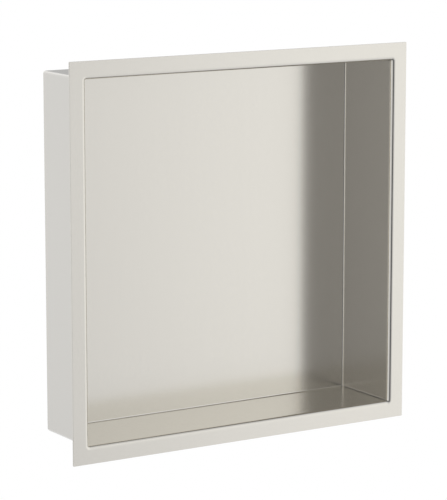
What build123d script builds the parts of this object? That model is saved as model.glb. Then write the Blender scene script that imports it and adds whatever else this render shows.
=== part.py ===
from build123d import *
import os

# Shower niche insert: a shallow open box with a flat rim round its mouth, folded
# from one thickness of stainless sheet, with its corner seams welded and ground.
# Front faces -Y and +Z is up. The origin is the middle of the mouth, in the plane
# of the finished wall, which is also the back face of the rim.

# Driving sizes, in millimetres
recess_width = 300      # clear opening, from wall to wall of the box
recess_height = 300
box_depth = 70          # from the face of the finished wall to the outside of the back panel
frame_width = 15        # what shows of the rim beside the opening, all round
sheet = 1.5             # thickness of the sheet
fold_inside = 1.0       # inside radius of the back folds and of the corner seams
rim_fold_inside = 2.0   # inside radius of the fold from the box into the rim
rim_corner = 0.5        # easing of the rim's four points
edge_break = 0.15       # dressing of the rim's cut edges

# What follows from them
fold_outside = fold_inside + sheet
rim_fold_outside = rim_fold_inside + sheet
box_width = recess_width + 2 * sheet
box_height = recess_height + 2 * sheet
rim_outline_width = recess_width + 2 * frame_width
rim_outline_height = recess_height + 2 * frame_width

wall_plane = Plane.XZ   # looks out of the wall, so a negative amount goes into it

with BuildPart() as niche_insert:
    # Outer form of the box, its back folds and corners rounded over
    with BuildSketch(wall_plane):
        RectangleRounded(box_width, box_height, fold_outside)
    extrude(amount=-box_depth)
    back_panel = niche_insert.faces().sort_by(Axis.Y)[-1]
    fillet(back_panel.edges(), fold_outside)

    # Hollowed to one sheet all through, open at the front
    mouth = niche_insert.faces().sort_by(Axis.Y)[0]
    offset(amount=-sheet, openings=mouth)

    # Rim plate on the face of the wall, flush with the inside of the box
    with BuildSketch(wall_plane) as rim_outline:
        Rectangle(rim_outline_width, rim_outline_height)
        fillet(rim_outline.vertices(), rim_corner)
        RectangleRounded(recess_width, recess_height, fold_inside, mode=Mode.SUBTRACT)
    extrude(amount=sheet)

    # The rim rolls into the walls: outside radius seen from the front, inside behind
    rim_front = niche_insert.faces().sort_by(Axis.Y)[0]
    fillet(rim_front.inner_wires()[0].edges(), rim_fold_outside)
    rim_back = niche_insert.faces().filter_by(Axis.Y).group_by(Axis.Y)[1][0]
    fillet(rim_back.inner_wires()[0].edges(), rim_fold_inside)

    # Cut edges of the rim, front and back, dressed
    rim_faces = niche_insert.faces().filter_by(Axis.Y).group_by(Axis.Y)[:2]
    cut_edges = [edge for group in rim_faces for face in group for edge in face.outer_wire().edges()]
    fillet(cut_edges, edge_break)

niche_insert.part.label = "niche_insert"

os.makedirs("parts", exist_ok=True)
export_step(niche_insert.part, "parts/niche_insert.step")
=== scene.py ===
import math
import bmesh
import bpy
from mathutils import Matrix, Vector


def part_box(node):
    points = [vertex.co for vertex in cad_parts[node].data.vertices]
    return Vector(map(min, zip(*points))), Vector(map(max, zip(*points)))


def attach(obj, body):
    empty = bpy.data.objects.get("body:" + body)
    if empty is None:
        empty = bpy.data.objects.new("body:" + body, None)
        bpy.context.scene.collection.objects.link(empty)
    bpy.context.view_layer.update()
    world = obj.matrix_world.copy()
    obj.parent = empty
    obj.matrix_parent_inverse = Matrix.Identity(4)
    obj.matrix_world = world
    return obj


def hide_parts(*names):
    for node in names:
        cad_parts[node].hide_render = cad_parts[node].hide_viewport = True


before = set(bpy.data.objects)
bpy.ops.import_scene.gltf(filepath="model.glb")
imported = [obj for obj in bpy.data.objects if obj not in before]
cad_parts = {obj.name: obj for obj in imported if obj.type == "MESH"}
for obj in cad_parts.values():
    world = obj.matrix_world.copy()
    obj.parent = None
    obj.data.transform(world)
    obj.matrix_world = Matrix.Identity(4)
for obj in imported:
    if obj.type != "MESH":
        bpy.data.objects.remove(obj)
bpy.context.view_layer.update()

# Sizes, in metres. The part's box gives its outline, depth and gauge, and the rest are the folds.
low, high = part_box("niche_insert")
sheet = -low.y                          # the rim stands one sheet proud of the wall
frame_width = 0.015                     # what shows of the rim beside the opening
fold_inside = 0.001                     # back folds and corner seams
rim_fold_outside = 0.002 + sheet        # the rolled edge between rim and wall
mouth_radius = fold_inside + rim_fold_outside
rim_corner = 0.0005                     # easing of the rim's points
edge_break = 0.00015                    # dressing of the cut edges
fold_steps = 12                         # facets round a quarter turn
close = 1e-6                            # closer than this is the same place
flat_enough = 0.9999                    # a normal with this much of one axis is on a flat face
sharp = math.radians(60)                # only the cut edges turn more sharply than this

recess_half_width = high.x - frame_width
recess_half_height = high.z - frame_width
front = low.y                           # face of the rim
floor_of_recess = high.y - sheet        # inner face of the back panel


# Shapes and pieces

def verts_of(geometry):
    return [g for g in geometry if isinstance(g, bmesh.types.BMVert)]


def edges_of(geometry):
    return [g for g in geometry if isinstance(g, bmesh.types.BMEdge)]


def everything_in(bm):
    return list(bm.verts) + list(bm.edges) + list(bm.faces)


def piece_from(bm, name):
    """A piece of the scene, from a finished shape."""
    mesh = bpy.data.meshes.new(name)
    bm.to_mesh(mesh)
    bm.free()
    piece = bpy.data.objects.new(name, mesh)
    bpy.context.scene.collection.objects.link(piece)
    return piece


# The folded sheet

def edges_between(bm, verts):
    """The edges whose two ends are both in verts."""
    chosen = set(verts)
    return [e for e in bm.edges if all(v in chosen for v in e.verts)]


def corner_section(bm, seam):
    """The sheet's visible side, cut through at a corner seam: rolled edge, wall and back fold."""
    roll_centre = Vector((seam.x + mouth_radius, front + rim_fold_outside, seam.z))
    start = bm.verts.new((roll_centre.x, front, seam.z))
    rolled = bmesh.ops.spin(bm, geom=[start], cent=roll_centre, axis=(0, 0, 1),
                            angle=-math.pi / 2, steps=fold_steps)
    wall_top = verts_of(rolled["geom_last"])[0]
    wall = bmesh.ops.extrude_vert_indiv(bm, verts=[wall_top])
    wall_foot = wall["verts"][0]
    wall_foot.co = (seam.x + fold_inside, floor_of_recess - fold_inside, seam.z)
    bmesh.ops.spin(bm, geom=[wall_foot], cent=(seam.x, floor_of_recess - fold_inside, seam.z),
                   axis=(0, 0, 1), angle=math.pi / 2, steps=fold_steps)
    return list(bm.edges)


def pull(bm, edges, offset):
    """Extrudes edges by an offset."""
    made = bmesh.ops.extrude_edge_only(bm, edges=edges)["geom"]
    bmesh.ops.translate(bm, verts=verts_of(made), vec=offset)


def spread_rim(bm, seam):
    """Carries the mouth's outline out to the sheet's cut edge, with its corner eased."""
    mouth = [v for v in bm.verts if abs(v.co.y - front) < close]
    outline = verts_of(bmesh.ops.extrude_edge_only(bm, edges=edges_between(bm, mouth))["geom"])
    round_the_corner = [v for v in outline if v.co.x > seam.x - close and v.co.z > seam.z - close]
    beside = [v for v in outline if v.co.z < seam.z - close]
    above = [v for v in outline if v.co.x < seam.x - close]
    ease = rim_corner / mouth_radius
    bmesh.ops.scale(bm, verts=round_the_corner, vec=(ease, 1, ease), space=Matrix.Translation(-seam))
    bmesh.ops.translate(bm, verts=round_the_corner,
                        vec=(high.x - rim_corner - seam.x, 0, high.z - rim_corner - seam.z))
    bmesh.ops.translate(bm, verts=beside, vec=(high.x - seam.x - mouth_radius, 0, 0))
    bmesh.ops.translate(bm, verts=above, vec=(0, 0, high.z - seam.z - mouth_radius))


def quarter_of_skin(bm):
    """The upper right quarter of the visible side, with the rim."""
    seam = Vector((recess_half_width - fold_inside, 0, recess_half_height - fold_inside))
    section = corner_section(bm, seam)
    turned = bmesh.ops.spin(bm, geom=section, cent=seam, axis=(0, 1, 0),
                            angle=-math.pi / 2, steps=fold_steps)
    pull(bm, section, (0, 0, -seam.z))
    pull(bm, edges_of(turned["geom_last"]), (-seam.x, 0, 0))
    spread_rim(bm, seam)


def close_back(bm):
    """Fills the back panel in between the back folds."""
    open_edges = [e for e in bm.edges if e.is_boundary]
    back_outline = [e for e in open_edges if min(v.co.y for v in e.verts) > floor_of_recess - close]
    bmesh.ops.holes_fill(bm, edges=back_outline, sides=0)


def face_the_room(bm):
    """Turns every face of the visible side to the front, and shades the folds smooth."""
    bmesh.ops.recalc_face_normals(bm, faces=bm.faces)
    back = max(bm.faces, key=lambda face: face.calc_area())
    if back.normal.y > 0:
        bmesh.ops.reverse_faces(bm, faces=bm.faces)
    for face in bm.faces:
        face.smooth = max(abs(c) for c in face.normal) < flat_enough


def lay_flat(bm):
    """UV of the sheet unfolded, in metres: walls and rim open out from the back panel."""
    layer = bm.loops.layers.uv.new("flat_sheet")
    for face in bm.faces:
        middle = face.calc_center_median()
        at_side = abs(middle.x) - recess_half_width > abs(middle.z) - recess_half_height
        for loop in face.loops:
            x, y, z = loop.vert.co
            unrolled = floor_of_recess - y
            if at_side:
                loop[layer].uv = (x + math.copysign(unrolled, x), z)
            else:
                loop[layer].uv = (x, z + math.copysign(unrolled, z))


def give_gauge(piece):
    """Gives the skin the sheet's thickness behind it, then dresses the cut edges."""
    gauge = piece.modifiers.new("gauge", "SOLIDIFY")
    gauge.thickness = sheet
    gauge.offset = -1
    gauge.use_even_offset = True
    gauge.use_quality_normals = True
    gauge.material_offset = 1
    gauge.material_offset_rim = 2
    dressing = piece.modifiers.new("dressed edges", "BEVEL")
    dressing.width = edge_break
    dressing.segments = 2
    dressing.limit_method = "ANGLE"
    dressing.angle_limit = sharp


def folded_sheet():
    """The whole insert, mirrored from one quarter of its visible side."""
    bm = bmesh.new()
    quarter_of_skin(bm)
    for axis in ("X", "Z"):
        bmesh.ops.mirror(bm, geom=everything_in(bm), matrix=Matrix.Identity(4), merge_dist=close,
                         axis=axis)
    bmesh.ops.remove_doubles(bm, verts=bm.verts, dist=close)
    close_back(bm)
    face_the_room(bm)
    lay_flat(bm)
    piece = piece_from(bm, "niche_sheet")
    give_gauge(piece)
    return piece


# Nodes that the finishes and the studio share

number = "NodeSocketFloat"
vector = "NodeSocketVector"


def feed(tree, socket, value):
    """Sets a socket to a number, or links another socket to it."""
    if isinstance(value, (int, float)):
        socket.default_value = value
    else:
        tree.links.new(value, socket)


def math_node(tree, operation, *values):
    node = tree.nodes.new("ShaderNodeMath")
    node.operation = operation
    for socket, value in zip(node.inputs, values):
        feed(tree, socket, value)
    return node.outputs[0]


def node_group(name, inputs, outputs):
    """An empty group with named sockets, with what it is given and what it returns."""
    tree = bpy.data.node_groups.new(name, "ShaderNodeTree")
    for label, kind in inputs.items():
        tree.interface.new_socket(label, in_out="INPUT", socket_type=kind)
    for label, kind in outputs.items():
        tree.interface.new_socket(label, in_out="OUTPUT", socket_type=kind)
    return tree, tree.nodes.new("NodeGroupInput").outputs, tree.nodes.new("NodeGroupOutput").inputs


def place_group(tree, group, values):
    """A group in a material, with its own values, which may be numbers or sockets."""
    node = tree.nodes.new("ShaderNodeGroup")
    node.node_tree = group
    for label, value in values.items():
        feed(tree, node.inputs[label], value)
    return node.outputs


def material(name):
    """A material with its node tree and its shader."""
    made = bpy.data.materials.new(name)
    made.use_nodes = True
    return made, made.node_tree, made.node_tree.nodes["Principled BSDF"]


# Finishes

grain_sizes = {"Scratches": (0.00009, 0.006), "Streaks": (0.0011, 0.06), "Bands": (0.009, 0.25)}
noise_detail = 2
middle_of_noise = 0.5
patch_size = 0.12                       # metres
scratch_gloss = 0.06                    # how far the scratches change the roughness
scratch_bump = 0.5
scratch_depth = 0.000004                # metres


def streaks_of(tree, flat, width, length):
    """Noise drawn out along the grain: 0 to 1, with streaks this wide and long, in metres."""
    stretch = tree.nodes.new("ShaderNodeMapping")
    stretch.inputs["Scale"].default_value = (1 / width, 1 / length, 1)
    tree.links.new(flat, stretch.inputs["Vector"])
    noise = tree.nodes.new("ShaderNodeTexNoise")
    noise.noise_dimensions = "2D"
    noise.inputs["Scale"].default_value = 1
    noise.inputs["Detail"].default_value = noise_detail
    tree.links.new(stretch.outputs[0], noise.inputs["Vector"])
    return noise.outputs["Fac"]


def brushed_grain():
    """Fine scratches, wider streaks and broad bands, all along the sheet's height."""
    inputs = {"Flat Sheet": vector, "Scratches": number, "Streaks": number, "Bands": number}
    group, given, result = node_group("brushed grain", inputs, {"Tone": number, "Height": number})
    noises = {layer: streaks_of(group, given["Flat Sheet"], *size) for layer, size in grain_sizes.items()}
    tone = 1.0
    for layer, noise in noises.items():
        uneven = math_node(group, "SUBTRACT", noise, middle_of_noise)
        tone = math_node(group, "ADD", tone, math_node(group, "MULTIPLY", uneven, given[layer]))
    group.links.new(tone, result["Tone"])
    group.links.new(noises["Scratches"], result["Height"])
    return group


def soft_patches():
    """Broad, soft unevenness from handling and wiping."""
    inputs = {"Place": vector, "Size": number, "Amount": number}
    group, given, result = node_group("soft patches", inputs, {"Patches": number})
    noise = group.nodes.new("ShaderNodeTexNoise")
    noise.inputs["Detail"].default_value = noise_detail
    group.links.new(given["Place"], noise.inputs["Vector"])
    group.links.new(math_node(group, "DIVIDE", 1.0, given["Size"]), noise.inputs["Scale"])
    uneven = math_node(group, "SUBTRACT", noise.outputs["Fac"], middle_of_noise)
    group.links.new(math_node(group, "MULTIPLY", uneven, given["Amount"]), result["Patches"])
    return group


def toned(tree, colour, tone):
    """A colour times a tone."""
    mix = tree.nodes.new("ShaderNodeVectorMath")
    mix.operation = "SCALE"
    mix.inputs[0].default_value = colour
    tree.links.new(tone, mix.inputs["Scale"])
    return mix.outputs[0]


def steel(name, colour, roughness, scratches, streaks, bands, patchiness):
    """Stainless steel: a grained metal whose gloss drifts a little over the sheet."""
    made, tree, shader = material(name)
    flat = tree.nodes.new("ShaderNodeUVMap")
    flat.uv_map = "flat_sheet"
    place = tree.nodes.new("ShaderNodeTexCoord")
    grain = place_group(tree, grain_group, {"Flat Sheet": flat.outputs["UV"], "Scratches": scratches,
                                            "Streaks": streaks, "Bands": bands})
    patches = place_group(tree, patch_group, {"Place": place.outputs["Object"], "Size": patch_size,
                                              "Amount": patchiness})
    shader.inputs["Metallic"].default_value = 1.0
    tree.links.new(toned(tree, colour, grain["Tone"]), shader.inputs["Base Color"])
    drift = math_node(tree, "ADD", roughness, patches["Patches"])
    uneven = math_node(tree, "SUBTRACT", grain["Height"], middle_of_noise)
    scratched = math_node(tree, "MULTIPLY", uneven, scratch_gloss)
    tree.links.new(math_node(tree, "ADD", drift, scratched), shader.inputs["Roughness"])
    bump = tree.nodes.new("ShaderNodeBump")
    bump.inputs["Strength"].default_value = scratch_bump
    bump.inputs["Distance"].default_value = scratch_depth
    tree.links.new(grain["Height"], bump.inputs["Height"])
    tree.links.new(bump.outputs[0], shader.inputs["Normal"])
    return made


def brushed_stainless():
    """The satin side, which lines the recess and faces the rim."""
    return steel("brushed_stainless", colour=(0.76, 0.735, 0.675), roughness=0.206, scratches=0.14,
                 streaks=0.014, bands=0.008, patchiness=0.02)


def stainless_reverse():
    """The sheet's other side, which goes into the wall."""
    return steel("stainless_reverse", colour=(0.74, 0.725, 0.69), roughness=0.22, scratches=0.08,
                 streaks=0.01, bands=0.01, patchiness=0.04)


def stainless_cut_edge():
    """The rim's cut edge."""
    return steel("stainless_cut_edge", colour=(0.74, 0.72, 0.67), roughness=0.25, scratches=0.1,
                 streaks=0.02, bands=0.0, patchiness=0.04)


# The studio, in metres. The insert hangs as in its wall, in the middle of a light tent.

floor_height = -2.2
floor_reach = 30.0
floor_paleness = 0.8                    # as it lights the insert. It shows as white.
tent_radius = 8.0
tent_clearance = 0.002                  # from the pale floor to the tent's own floor
tent_glow = 1.08
tint_green = 0.01                       # the lean of the tent's shade to a cool white
tint_blue = 0.09
round_steps = 96                        # facets round the floor and the tent

# Tones of the tent, painted light and shade for the metal to mirror: (degrees, share of its glow). Around,
# 0 is straight in front and more is right.
tones_around = [(-180, 1.1), (-150, 0.75), (-110, 1.0), (-80, 0.9), (-60, 0.7), (-45, 0.6), (-35, 0.4),
                (-25, 0.0), (-10, 0.1), (5, 0.5), (15, 0.65), (25, 0.7), (35, 1.0), (100, 0.85),
                (150, 0.45), (180, 1.1)]
tones_upwards = [(-90, 0.1), (-45, 0.8), (-20, 0.9), (-10, 1.0), (25, 1.0), (45, 0.8), (90, 0.1)]
half_turn = 180                         # degrees
quarter_turn = 90


def white_world():
    """Even white light from all round, which is also the white background."""
    world = bpy.data.worlds.new("soft studio")
    world.use_nodes = True
    world.node_tree.nodes["Background"].inputs["Color"].default_value = (1, 1, 1, 1)
    bpy.context.scene.world = world


def background_rays(tree):
    """1 for rays that show the background itself: seen, mirrored in metal or through glass."""
    path = tree.nodes.new("ShaderNodeLightPath")
    total = path.outputs["Is Camera Ray"]
    for kind in ("Is Glossy Ray", "Is Transmission Ray"):
        total = math_node(tree, "MAXIMUM", total, path.outputs[kind])
    return total


def pale_floor():
    """White to the rays that show it and pale to the light that it throws back."""
    made, tree, shader = material("pale floor")
    shader.inputs["Roughness"].default_value = 0.9
    shader.inputs["Specular IOR Level"].default_value = 0
    lift = math_node(tree, "MULTIPLY", background_rays(tree), 1 - floor_paleness)
    tree.links.new(math_node(tree, "ADD", lift, floor_paleness), shader.inputs["Base Color"])
    return made


def studio_floor():
    """Pale floor that shows as white and takes a shadow."""
    bm = bmesh.new()
    bmesh.ops.create_circle(bm, cap_ends=True, segments=round_steps, radius=floor_reach)
    bmesh.ops.translate(bm, verts=bm.verts, vec=(0, 0, floor_height))
    floor = piece_from(bm, "studio_floor")
    floor.data.materials.append(pale_floor())


def tent_colour(degrees, tone):
    """A tone of the tent, whose shade is a little cool, but not behind the insert or at the poles."""
    shade = 1 - tone if abs(degrees) < quarter_turn else 0
    return (tone, tone * (1 + tint_green * shade), tone * (1 + tint_blue * shade), 1)


def tone_ramp(tree, angle, widest, stops):
    """A tone by an angle: stops are (degrees, tone), and widest is the angle's largest size."""
    ramp = tree.nodes.new("ShaderNodeValToRGB")
    elements = ramp.color_ramp.elements
    while len(elements) < len(stops):
        elements.new(1.0)
    for element, (degrees, tone) in zip(elements, stops):
        element.position = (degrees / widest + 1) / 2
        element.color = tent_colour(degrees, tone)
    share = math_node(tree, "DIVIDE", angle, 2 * math.radians(widest))
    tree.links.new(math_node(tree, "ADD", share, 0.5), ramp.inputs["Fac"])
    return ramp.outputs["Color"]


def direction_angles(tree):
    """Bearing and elevation of a point, seen from the insert."""
    coordinates = tree.nodes.new("ShaderNodeTexCoord")
    split = tree.nodes.new("ShaderNodeSeparateXYZ")
    tree.links.new(coordinates.outputs["Object"], split.inputs[0])
    x, y, z = split.outputs
    bearing = math_node(tree, "ARCTAN2", x, math_node(tree, "MULTIPLY", y, -1.0))
    x_squared = math_node(tree, "MULTIPLY", x, x)
    y_squared = math_node(tree, "MULTIPLY", y, y)
    level = math_node(tree, "SQRT", math_node(tree, "ADD", x_squared, y_squared))
    return bearing, math_node(tree, "ARCTAN2", z, level)


def tent_painted_reflections():
    """The tent's glow by direction: painted light and shade, as the metal mirrors them."""
    made, tree, shader = material("tent painted reflections")
    tree.nodes.remove(shader)
    bearing, elevation = direction_angles(tree)
    both = tree.nodes.new("ShaderNodeVectorMath")
    both.operation = "MULTIPLY"
    tree.links.new(tone_ramp(tree, bearing, half_turn, tones_around), both.inputs[0])
    tree.links.new(tone_ramp(tree, elevation, quarter_turn, tones_upwards), both.inputs[1])
    glow = tree.nodes.new("ShaderNodeEmission")
    glow.inputs["Strength"].default_value = tent_glow
    tree.links.new(both.outputs[0], glow.inputs["Color"])
    tree.links.new(glow.outputs[0], tree.nodes["Material Output"].inputs["Surface"])
    return made


def light_tent():
    """White tent with a painted dark opening in front, glowing with painted light and shade. Only the
    metal's mirroring sees it.
    """
    bm = bmesh.new()
    bmesh.ops.create_uvsphere(bm, u_segments=round_steps, v_segments=round_steps // 2, radius=tent_radius)
    cut = bmesh.ops.bisect_plane(bm, geom=everything_in(bm), plane_co=(0, 0, floor_height + tent_clearance),
                                 plane_no=(0, 0, -1), clear_outer=True)
    bmesh.ops.contextual_create(bm, geom=edges_of(cut["geom_cut"]))
    tent = piece_from(bm, "light_tent")
    tent.data.materials.append(tent_painted_reflections())
    tent.visible_camera = False
    tent.visible_diffuse = False
    tent.visible_transmission = False
    tent.visible_volume_scatter = False
    tent.visible_shadow = False


# The camera, as the photograph was taken

camera_bearing = math.radians(32.16)    # it stands to the left and looks this far to the right of +Y
camera_drop = math.radians(9.96)        # and looks this far down
camera_distance = 2.083                 # metres, from where it looks
aim_left = 0.01778                      # where it looks, from the middle of the rim's face
aim_down = 0.00123
image_height = 500                      # pixels
focal_length = 2489                     # pixels
sensor_side = 36                        # millimetres, for the picture's longer side
sight = 100                             # metres


def add_camera():
    ahead = Vector((math.sin(camera_bearing) * math.cos(camera_drop),
                    math.cos(camera_bearing) * math.cos(camera_drop), -math.sin(camera_drop)))
    right = Vector((math.cos(camera_bearing), -math.sin(camera_bearing), 0))
    up = right.cross(ahead)
    data = bpy.data.cameras.new("camera")
    data.sensor_width = sensor_side
    data.lens = sensor_side * focal_length / image_height
    data.clip_end = sight
    camera = bpy.data.objects.new("camera", data)
    bpy.context.scene.collection.objects.link(camera)
    aim = Vector((0, front, 0)) - right * aim_left - up * aim_down
    camera.location = aim - ahead * camera_distance
    camera.rotation_euler = Matrix((right, up, -ahead)).transposed().to_euler()
    bpy.context.scene.camera = camera


grain_group = brushed_grain()
patch_group = soft_patches()
niche = folded_sheet()
for finish in (brushed_stainless, stainless_reverse, stainless_cut_edge):
    niche.data.materials.append(finish())
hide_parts("niche_insert")
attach(niche, "root")

white_world()
studio_floor()
light_tent()
add_camera()
bpy.context.scene.view_settings.view_transform = "Standard"
